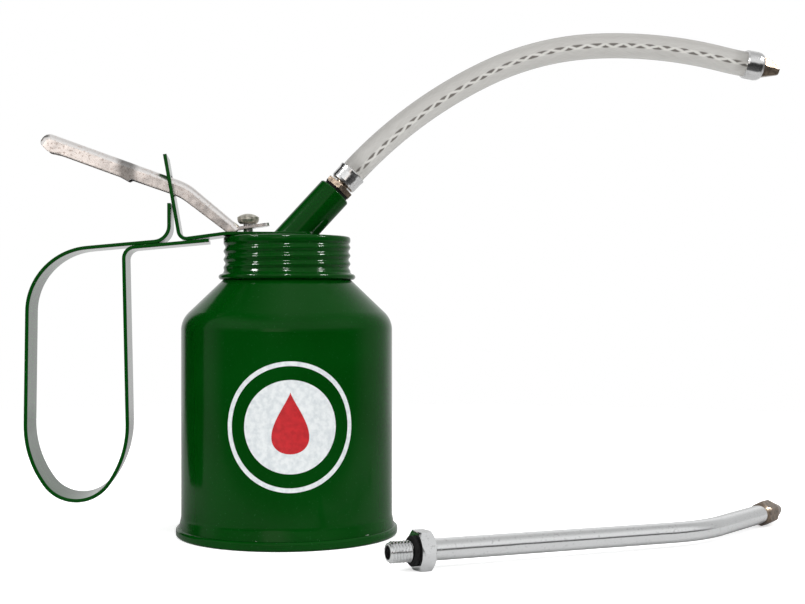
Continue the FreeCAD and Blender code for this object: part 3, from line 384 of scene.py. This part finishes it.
MATERIALS = {
    "green_enamel": enamel("green_enamel", 0.10),
    "badge_print": printed("badge_print", (0.72, 0.75, 0.76), (0.58, 0.62, 0.64)),
    "black_rubber": rubber("black_rubber"),
    "chrome_lever": lever_plating(),
    "chrome_tube": plated("chrome_tube", (0.89, 0.90, 0.905), 0.16, 0.12, 0.5),
    "nickel_screw": turned_metal("nickel_screw", (0.55, 0.53, 0.46), (0.36, 0.34, 0.28), 0.34),
    "rod_steel": turned_metal("rod_steel", (0.6, 0.6, 0.6), (0.45, 0.45, 0.45), 0.25),
    "spring_steel": turned_metal("spring_steel", (0.4, 0.4, 0.42), (0.3, 0.3, 0.3), 0.3),
    "ball_steel": plated("ball_steel", (0.75, 0.75, 0.76), 0.05, 0.0, 0.2),
    "pump_brass": turned_metal("pump_brass", (0.75, 0.56, 0.26), (0.60, 0.43, 0.20), 0.28),
    "bronze_fitting": turned_metal("bronze_fitting", (0.30, 0.235, 0.18), (0.14, 0.11, 0.085), 0.3),
    "ferrule_metal": plated("ferrule_metal", (0.80, 0.80, 0.80), 0.16, 0.3, 0.5),
    "clear_hose": clear_hose(),
    "cup_leather": leather(),
    "gasket_cork": rubber("gasket_cork", 0.12),
}


def dress_frame():
    """Give every CAD node the material of its slot in the record; the can's wall is less glossy."""
    wall_enamel = enamel("wall_enamel", 0.14)
    for subpart in frame["record"]["subparts"]:
        piece = frame["nodes"][subpart["node"]]
        material = MATERIALS[subpart["material_slot"]]
        if subpart["node"] == "can_body":
            material = wall_enamel
        if not piece.material_slots:
            piece.data.materials.append(material)
        for slot in piece.material_slots:
            slot.material = material


# ---- mesh helpers --------------------------------------------------------------------------------
def mesh_piece(name, vertices, faces, material, smooth=True):
    """New mesh piece in the scene, with its material."""
    mesh = bpy.data.meshes.new(name)
    mesh.from_pydata([tuple(point) for point in vertices], [], faces)
    mesh.validate()
    mesh.materials.append(material)
    for polygon in mesh.polygons:
        polygon.use_smooth = smooth
    piece = bpy.data.objects.new(name, mesh)
    bpy.context.scene.collection.objects.link(piece)
    return piece


def heading_vector(degrees):
    """Direction in the XZ plane, in degrees above the X axis."""
    turn = math.radians(degrees)
    return Vector((math.cos(turn), 0, math.sin(turn)))


def advance(point, heading, length, turn):
    """End of an arc that starts at a heading and turns by some degrees over its length (mm)."""
    if abs(turn) < 1e-9:
        return point + heading_vector(heading) * length * MM
    half = math.radians(turn / 2)
    return point + heading_vector(heading + turn / 2) * length * MM * math.sin(half) / half


def hose_stations(step):
    """Points and headings along the hose's middle: list of (point, heading, length so far)."""
    runs = [(FERRULE_MOUTH - HOSE_START, SPOUT_ANGLE)] + list(HOSE_ARCS)
    runs.append((HOSE_TAIL, HOSE_ARCS[-1][1]))
    point = SPOUT_MOUTH + SPOUT_AXIS * HOSE_START * MM
    heading = SPOUT_ANGLE
    done = 0.0
    stations = [(point.copy(), heading, 0.0)]
    for length, end_heading in runs:
        count = max(1, round(length / step))
        turn = end_heading - heading
        for index in range(1, count + 1):
            share = index / count
            stations.append((advance(point, heading, length * share, turn * share),
                             heading + turn * share, done + length * share))
        point = stations[-1][0].copy()
        heading = end_heading
        done += length
    return stations


def ring(point, heading, radius, count):
    """Circle of points about a heading in the XZ plane, the first one on the camera's far side."""
    side = Vector((0, -1, 0))
    rise = heading_vector(heading + 90)
    points = []
    for index in range(count):
        angle = 2 * math.pi * index / count + math.pi
        points.append(point + (side * math.cos(angle) + rise * math.sin(angle)) * radius * MM)
    return points


def skin_rings(rings, close_loop):
    """Faces joining rings of equal size; close_loop joins the last ring to the first."""
    count = len(rings[0])
    vertices = [point for points in rings for point in points]
    faces = []
    total = len(rings)
    for row in range(total if close_loop else total - 1):
        after = (row + 1) % total
        for column in range(count):
            right = (column + 1) % count
            faces.append((row * count + column, row * count + right,
                          after * count + right, after * count + column))
    return vertices, faces


# ---- hose ----------------------------------------------------------------------------------------
def bend_with_hose(piece):
    """Bake a piece's placement into its mesh; it is not curved across the hose's bending joint."""
    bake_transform(piece)


def lay_weave(hose, lengths, count):
    """Store on the hose how far along and how far round it each corner lies."""
    layer = hose.data.uv_layers.new(name="weave")
    for polygon in hose.data.polygons:
        row = polygon.index // count
        column = polygon.index % count
        after = (row + 1) % len(lengths)
        corners = ((row, column), (row, column + 1), (after, column + 1), (after, column))
        for loop, (station, step) in zip(polygon.loop_indices, corners):
            layer.data[loop].uv = (lengths[station], step / count)


def build_hose():
    """The hose's wall as one skin from ferrule to ferrule, outside and bore."""
    stations = hose_stations(HOSE_STEP)
    back = stations[::-1]
    outer = [ring(point, heading, HOSE_RADIUS, HOSE_SIDES) for point, heading, _ in back]
    inner = [ring(point, heading, HOSE_BORE, HOSE_SIDES) for point, heading, _ in stations]
    vertices, faces = skin_rings(outer + inner, True)
    hose = mesh_piece("clear_hose_wall", vertices, faces, MATERIALS["clear_hose"])
    lay_weave(hose, [length for _, _, length in back + stations], HOSE_SIDES)
    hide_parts("hose_lower", "hose_upper")
    bend_with_hose(hose)


# ---- return spring -------------------------------------------------------------------------------
def build_return_spring():
    """Coil round the pump rod, riding with the head; the real spring shortens as the piston rises, this coil does
    not.
    """
    low_corner, high_corner = [Vector(corner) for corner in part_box("return_spring")]
    radius = (high_corner.x - low_corner.x) / 2 - SPRING_WIRE * MM
    middle = (low_corner + high_corner) / 2
    foot = low_corner.z + SPRING_WIRE * MM
    top = high_corner.z - SPRING_WIRE * MM
    steps = SPRING_TURNS * SPRING_STEPS
    rings = []
    for step in range(steps + 1):
        turn = 2 * math.pi * SPRING_TURNS * step / steps
        outward = Vector((math.cos(turn), math.sin(turn), 0))
        centre = Vector((middle.x, middle.y, foot + (top - foot) * step / steps)) + outward * radius
        loop = []
        for side in range(SPRING_SIDES):
            angle = 2 * math.pi * side / SPRING_SIDES
            spread = outward * math.cos(angle) - Vector((0, 0, math.sin(angle)))
            loop.append(centre + spread * SPRING_WIRE * MM)
        rings.append(loop)
    vertices, faces = skin_rings(rings, False)
    first_end = range(SPRING_SIDES)
    last_end = range(steps * SPRING_SIDES, (steps + 1) * SPRING_SIDES)
    faces.append(tuple(reversed(first_end)))
    faces.append(tuple(last_end))
    coil = mesh_piece("return_spring_coil", vertices, faces, MATERIALS["spring_steel"])
    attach(coil, "head")
    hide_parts("return_spring")
    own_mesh(coil)


# ---- badge ---------------------------------------------------------------------------------------
def on_wall(across, up, lift):
    """Point of the can's wall, from millimetres across and up from the badge's centre."""
    turn = across / BODY_RADIUS
    reach = BODY_RADIUS + lift
    return Vector((reach * math.sin(turn), -reach * math.cos(turn), BADGE_HEIGHT + up)) * MM


def circle(radius):
    """Outline of a circle, as across and up over an angle."""
    return lambda turn: (radius * math.sin(turn), radius * math.cos(turn))


def drop(turn):
    """Outline of an oil drop: round below, drawn out to a tip at the top."""
    taper = math.sin(turn / 2) ** 1.6
    return DROP_WIDTH * math.sin(turn) * taper, DROP_HEIGHT * math.cos(turn) + DROP_RISE


def wall_patch(name, inner_edge, outer_edge, lift, material):
    """Thin curved piece on the wall between two outlines given as points over an angle."""
    count = 120
    rows = 10
    turns = [2 * math.pi * index / count for index in range(count)]
    layers = [(row / rows, lift) for row in range(rows + 1)] + [(1, BADGE_BACK), (0, BADGE_BACK)]
    rings = []
    for share, height in layers:
        loop = []
        for turn in turns:
            inner = Vector(inner_edge(turn))
            outer = Vector(outer_edge(turn))
            spot = inner.lerp(outer, share)
            loop.append(on_wall(spot.x, spot.y, height))
        rings.append(loop)
    vertices, faces = skin_rings(rings, True)
    patch = mesh_piece(name, vertices, faces, material, smooth=False)
    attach(patch, "can")
    return patch


def build_badge():
    """Plain roundel with an oil drop: a white ring, a green gap, an off-white field, a red drop."""
    white = MATERIALS["badge_print"]
    red = printed("badge_red", (0.52, 0.012, 0.018), (0.40, 0.008, 0.012))
    inner, outer = [circle(radius) for radius in BADGE_RING]
    centre = circle(0.01)     # not quite a point, so the skin stays closed
    ring_piece = wall_patch("badge_ring", inner, outer, BADGE_LIFT, white)
    wall_patch("badge_field", centre, circle(BADGE_FIELD), BADGE_LIFT, white)
    wall_patch("badge_drop", centre, drop, DROP_LIFT, red)
    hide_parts("label")


# ---- stage, light and camera ---------------------------------------------------------------------
FLOOR_RADII = (0.0001, 0.15, 0.3, 0.6, 1.0, 1.6, 3.0)   # metres
FLOOR_SIDES = 48
FLOOR_MIDDLE = 0.05           # metres to the right of the can's axis
FLOOR_FADE = (0.28, 0.75)     # metres: the floor is solid to the first, clear from the second


def floor_material():
    """Pale floor that fades out far from the object, with a painted lit patch and dim front in reflections."""
    shader = Shader("pale_floor")
    path = shader.node("ShaderNodeLightPath")
    pale = shader.grey_ramp(shader.noise(60, 3), [(0.3, 0.90), (0.7, 0.93)])
    # painted reflection: in reflections the floor shows a painted lit patch under the object and a dim floor in
    # front of it
    reflected_lit_patch = shader.grey_ramp(shader.math("ADD", shader.axis("Y"), 0.5), [(0.34, 0.05), (0.39, 0.5)])
    colour = shader.mix(path.outputs["Is Glossy Ray"], pale, reflected_lit_patch)
    shader.set(Base_Color=colour, Roughness=0.75, Emission_Color=(1, 1, 1, 1),
               Emission_Strength=shader.math("MULTIPLY", path.outputs["Is Camera Ray"], 0.55))
    distance = shader.node("ShaderNodeVectorMath", operation="LENGTH")
    shader.link(shader.coordinates, distance.inputs[0])
    solid, clear = FLOOR_FADE
    fade = shader.grey_ramp(distance.outputs["Value"], [(solid, 0), (clear, 1)])
    see_through = shader.node("ShaderNodeBsdfTransparent")
    mixer = shader.node("ShaderNodeMixShader")
    shader.link(fade, mixer.inputs[0])
    shader.link(shader.base.outputs["BSDF"], mixer.inputs[1])
    shader.link(see_through.outputs["BSDF"], mixer.inputs[2])
    shader.link(mixer.outputs["Shader"], shader.output.inputs["Surface"])
    return shader.material


def build_floor():
    """Round flat floor at the height of the can's foot."""
    rings = []
    for radius in FLOOR_RADII:
        loop = []
        for side in range(FLOOR_SIDES):
            turn = 2 * math.pi * side / FLOOR_SIDES
            loop.append(Vector((radius * math.cos(turn) + FLOOR_MIDDLE, radius * math.sin(turn), 0)))
        rings.append(loop)
    vertices, faces = skin_rings(rings, False)
    mesh_piece("floor", vertices, faces, floor_material())


def studio_walls(shader, share, height):
    """Walls by share of the way round: white behind, with a dark card at its left, grey in front."""
    # 0 and 1 are towards the camera, 0.25 to the left, 0.5 behind the object, 0.75 to the right
    low_walls, high_walls = [shader.grey_ramp(share, [
        (0.0, front), (0.20, front), (0.25, 0.60), (0.285, 0.55), (0.30, 0.01), (0.40, 0.01),
        (0.415, 0.8), (0.60, 0.8), (0.65, 0.55), (0.74, 0.5), (0.80, front), (1.0, front)])
        for front in (0.03, 0.78)]
    return shader.mix(shader.grey_ramp(height, [(0.08, 0), (0.26, 1)]), low_walls, high_walls)


def studio_ceiling(shader):
    """Ceiling, dark at the left and brightest over the middle."""
    return shader.grey_ramp(shader.math("MULTIPLY_ADD", shader.axis("X"), 0.5, 0.5),
                            [(0.28, 0.03), (0.5, 0.70), (0.8, 0.45)])


def front_card(shader, share, height):
    """Where a warm card stands: in front, a little to the left, from just above the horizon up."""
    rise = shader.grey_ramp(height, [(0.030, 0), (0.055, 1), (0.22, 1), (0.26, 0)])
    turn = shader.grey_ramp(share, [(0.0, 0.40), (0.012, 0.5), (0.022, 0.95), (0.07, 0.95),
                                    (0.085, 0), (0.99, 0), (1.0, 0.40)])
    return shader.math("MULTIPLY", rise, turn)


def build_world():
    """Studio round the object, seen in reflections and through the hose; the camera sees white."""
    world = bpy.data.worlds.new("studio")
    bpy.context.scene.world = world
    shader = Shader("studio", world)
    height = shader.axis("Z")
    turn = shader.math("ARCTAN2", shader.axis("X"), shader.axis("Y"))
    share = shader.math("MULTIPLY_ADD", turn, 0.5 / math.pi, 0.5)
    upward = shader.grey_ramp(height, [(0.60, 0), (0.90, 1)])
    surroundings = shader.mix(upward, studio_walls(shader, share, height), studio_ceiling(shader))
    card = front_card(shader, share, height)
    surroundings = shader.mix(card, surroundings, (1.5, 1.37, 1.29))
    # a dark line low down, seen only through the clear hose
    path = shader.node("ShaderNodeLightPath")
    line = shader.grey_ramp(height, [(0.0, 0), (0.02, 1), (0.10, 1), (0.12, 0)])
    line = shader.math("MULTIPLY", line, path.outputs["Is Transmission Ray"])
    surroundings = shader.mix(line, surroundings, (0.12, 0.11, 0.10))
    shown = shader.mix(path.outputs["Is Camera Ray"], surroundings, (1.0, 1.0, 1.0))
    shader.link(shown, shader.tree.nodes["Background"].inputs["Color"])


LAMP_AIM = Vector((0.04, 0, 0.1))
SOFT_DISTANCE = 1.8
SOFT_SIZE = 0.8
GLINT_DISTANCE = 2.0
GLINT_SIZE = 0.26
GLINT_RISE = 40               # degrees
GLINT_POWER = 36
GLINTING_NODES = ("cap", "neck_ring", "spout_socket", "hose_union", "lower_ferrule",
                  "upper_ferrule", "flexible_nozzle", "rod_screw", "rigid_nozzle")


def area_light(name, place, size, power):
    """Square lamp aimed at the middle of the object."""
    data = bpy.data.lights.new(name, "AREA")
    data.size = size
    data.energy = power
    lamp = bpy.data.objects.new(name, data)
    bpy.context.scene.collection.objects.link(lamp)
    lamp.location = place
    aim = LAMP_AIM - Vector(place)
    lamp.rotation_euler = aim.to_track_quat("-Z", "Y").to_euler()
    return lamp


def around(turn, rise, distance):
    """Place at degrees to the right of the camera's side and degrees above the floor."""
    side = math.radians(turn)
    up = math.radians(rise)
    return (distance * math.cos(up) * math.sin(side), -distance * math.cos(up) * math.cos(side),
            distance * math.sin(up))


def build_lights():
    """Broad soft lamps that stay out of reflections, and small lamps seen only as highlights."""
    for name, turn, rise, power in (("soft_left", -60, 35, 11), ("soft_mid", 0, 40, 4),
                                    ("soft_right", 60, 35, 11), ("soft_top", 10, 80, 10)):
        lamp = area_light(name, around(turn, rise, SOFT_DISTANCE), SOFT_SIZE, power)
        lamp.visible_glossy = False
    glinting = bpy.data.collections.new("glinting")
    for node in GLINTING_NODES:
        glinting.objects.link(frame["nodes"][node])
    for name, turn in (("glint_left", -72), ("glint_mid", -4), ("glint_right", 72)):
        place = around(turn, GLINT_RISE, GLINT_DISTANCE)
        lamp = area_light(name, place, GLINT_SIZE, GLINT_POWER)
        lamp.visible_diffuse = False
        lamp.light_linking.receiver_collection = glinting


CAMERA_PLACE = (-0.01626, -0.58508, 0.09629)
CAMERA_TURN = -6.3            # degrees
CAMERA_LENS = 62.6
CAMERA_SENSOR = 36.0


def build_camera():
    """Level camera in front of the can, turned a little to the right."""
    data = bpy.data.cameras.new("camera")
    data.lens = CAMERA_LENS
    data.sensor_width = CAMERA_SENSOR
    camera = bpy.data.objects.new("camera", data)
    bpy.context.scene.collection.objects.link(camera)
    camera.location = CAMERA_PLACE
    camera.rotation_euler = (math.radians(90), 0, math.radians(CAMERA_TURN))
    bpy.context.scene.camera = camera


dress_frame()
build_hose()
build_return_spring()
build_badge()
build_floor()
build_world()
build_lights()
build_camera()
bpy.context.scene.view_settings.view_transform = "Standard"
